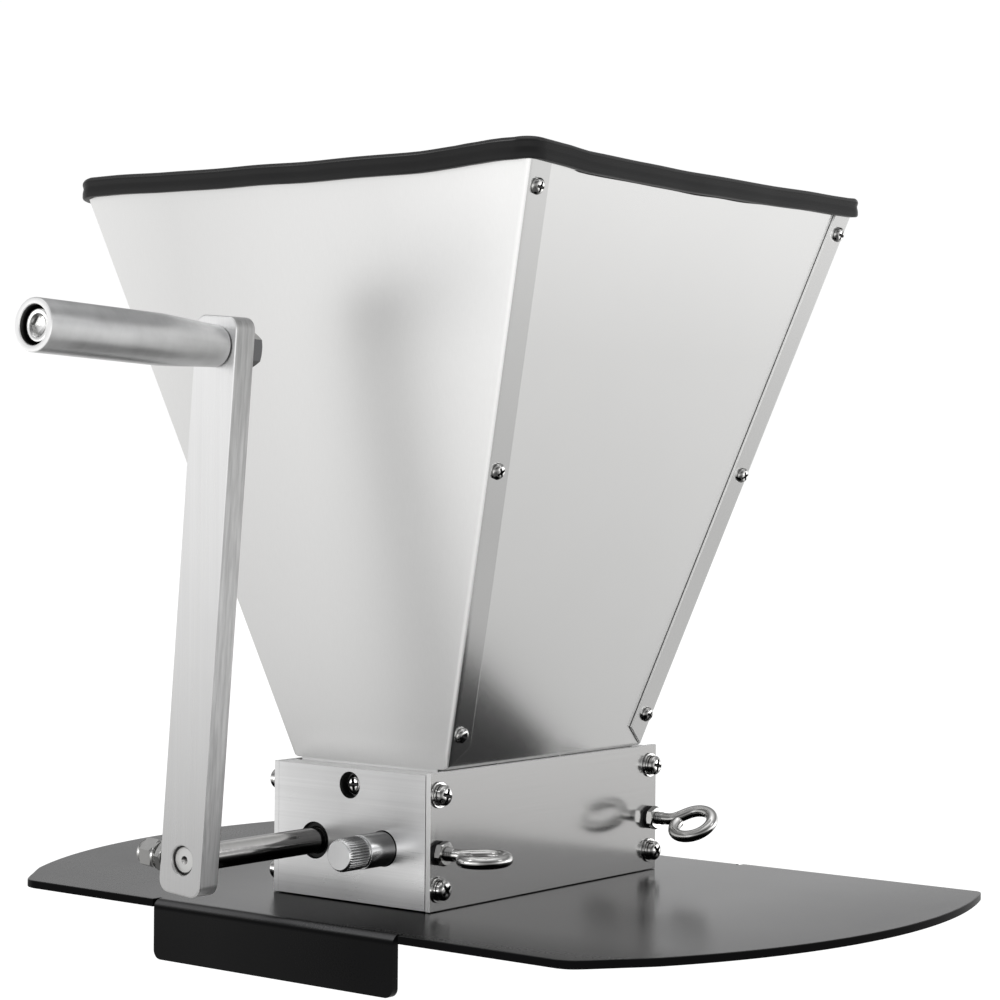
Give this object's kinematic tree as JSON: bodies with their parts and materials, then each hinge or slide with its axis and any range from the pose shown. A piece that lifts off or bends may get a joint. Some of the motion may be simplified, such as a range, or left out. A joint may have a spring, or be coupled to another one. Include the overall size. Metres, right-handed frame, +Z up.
{
  "type": "grain mill",
  "caption": "Hand-cranked roller grain mill: square tapering sheet-steel hopper over a low roller housing on a black bucket base plate, with side crank, gap adjusters and locking eye bolts.",
  "frame": {"origin": "bottom centre of the bounding box: level with the lower edges of the base tabs, between the two ends of the base plate", "axes": "+Z up, crank on the -Y end, locking eye bolts on the +X side; the base plate's long way is along X"},
  "size_m": [0.3614, 0.334, 0.2907],
  "materials": {
    "hopper_steel": "satin stainless sheet with soft blurred reflections",
    "polished_steel": "polished steel plate",
    "brushed_aluminium": "straight brushed",
    "handle_aluminium": "satin turned",
    "roller_steel": "ground steel, knurled on the roller faces",
    "zinc_plate": "bright zinc",
    "black_bush": "satin black",
    "rim_rubber": "matt black rubber",
    "black_powder_coat": "fine satin black powder coat"
  },
  "bodies": {
    "housing": {"base_plate": "black_powder_coat", "end_block_front": "brushed_aluminium", "end_block_rear": "brushed_aluminium", "side_plate_right": "polished_steel", "side_plate_left": "polished_steel", "body_screw_right_front_lower": "zinc_plate", "body_screw_right_front_upper": "zinc_plate", "body_screw_right_rear_lower": "zinc_plate", "body_screw_right_rear_upper": "zinc_plate", "body_screw_left_front_lower": "zinc_plate", "body_screw_left_front_upper": "zinc_plate", "body_screw_left_rear_lower": "zinc_plate", "body_screw_left_rear_upper": "zinc_plate", "base_screw_right_front": "zinc_plate", "base_screw_right_rear": "zinc_plate", "base_screw_left_front": "zinc_plate", "base_screw_left_rear": "zinc_plate", "shaft_bush_front": "black_bush", "shaft_bush_rear": "black_bush", "eye_bolt_washer_front": "rim_rubber", "eye_bolt_washer_rear": "rim_rubber", "hopper_panel_front": "hopper_steel", "hopper_panel_rear": "hopper_steel", "hopper_panel_right": "hopper_steel", "hopper_panel_left": "hopper_steel", "flange_screw_right_front_low": "zinc_plate", "flange_screw_right_front_mid": "zinc_plate", "flange_screw_right_front_top": "zinc_plate", "flange_screw_right_rear_low": "zinc_plate", "flange_screw_right_rear_mid": "zinc_plate", "flange_screw_right_rear_top": "zinc_plate", "flange_screw_left_front_low": "zinc_plate", "flange_screw_left_front_mid": "zinc_plate", "flange_screw_left_front_top": "zinc_plate", "flange_screw_left_rear_low": "zinc_plate", "flange_screw_left_rear_mid": "zinc_plate", "flange_screw_left_rear_top": "zinc_plate", "hopper_fixing_screw_front": "zinc_plate", "hopper_fixing_nut_front": "zinc_plate", "hopper_fixing_screw_rear": "zinc_plate", "hopper_fixing_nut_rear": "zinc_plate", "rim_trim": "rim_rubber"},
    "crank": {"drive_roller": "roller_steel", "crank_arm": "brushed_aluminium", "clamp_bolt": "zinc_plate", "clamp_nut": "zinc_plate", "handle_bolt": "zinc_plate", "handle_nut": "zinc_plate"},
    "handle": {"crank_handle": "handle_aluminium"},
    "adjuster_front": {"adjuster_knob_front": "brushed_aluminium"},
    "adjuster_rear": {"adjuster_knob_rear": "brushed_aluminium"},
    "driven_roller": {"driven_roller": "roller_steel"},
    "eye_bolt_front": {"eye_bolt_front": "zinc_plate"},
    "eye_bolt_rear": {"eye_bolt_rear": "zinc_plate"},
    "lock_nut_front": {"eye_bolt_nut_front": "zinc_plate"},
    "lock_nut_rear": {"eye_bolt_nut_rear": "zinc_plate"}
  },
  "joints": [
    {"name": "crank_spin", "type": "hinge", "parent": "housing", "child": "crank", "pos_m": [-0.0176, 0.0584, 0.043], "axis": [0, 1, 0], "continuous": true},
    {"name": "handle_spin", "type": "hinge", "parent": "crank", "child": "handle", "pos_m": [-0.00285, -0.07745, 0.2224], "axis": [-0.0029, 0.9994, -0.0348], "continuous": true},
    {"name": "adjuster_front_turn", "type": "hinge", "parent": "housing", "child": "adjuster_front", "pos_m": [0.0157, -0.013, 0.043], "axis": [0, 1, 0], "range_deg": [-90, 90]},
    {"name": "adjuster_rear_turn", "type": "hinge", "parent": "housing", "child": "adjuster_rear", "pos_m": [0.0157, 0.1298, 0.043], "axis": [0, 1, 0], "range_deg": [-90, 90]},
    {"name": "driven_roller_spin", "type": "hinge", "parent": "adjuster_front", "child": "driven_roller", "pos_m": [0.0157, 0.0584, 0.04395], "axis": [0, 1, 0], "continuous": true},
    {"name": "eye_bolt_front_turn", "type": "hinge", "parent": "housing", "child": "eye_bolt_front", "pos_m": [0.0379, -0.0082, 0.043], "axis": [1, 0, 0], "range_deg": [0, 180]},
    {"name": "eye_bolt_rear_turn", "type": "hinge", "parent": "housing", "child": "eye_bolt_rear", "pos_m": [0.0379, 0.125, 0.043], "axis": [1, 0, 0], "range_deg": [0, 180]},
    {"name": "lock_nut_front_turn", "type": "hinge", "parent": "housing", "child": "lock_nut_front", "pos_m": [0.0417, -0.0082, 0.043], "axis": [1, 0, 0], "range_deg": [0, 150]},
    {"name": "lock_nut_rear_turn", "type": "hinge", "parent": "housing", "child": "lock_nut_rear", "pos_m": [0.0417, 0.125, 0.043], "axis": [1, 0, 0], "range_deg": [0, 150]}
  ],
  "couplings": [
    {"joint": "driven_roller_spin", "follows": "crank_spin", "ratio": -1},
    {"joint": "adjuster_rear_turn", "follows": "adjuster_front_turn", "ratio": 1}
  ]
}
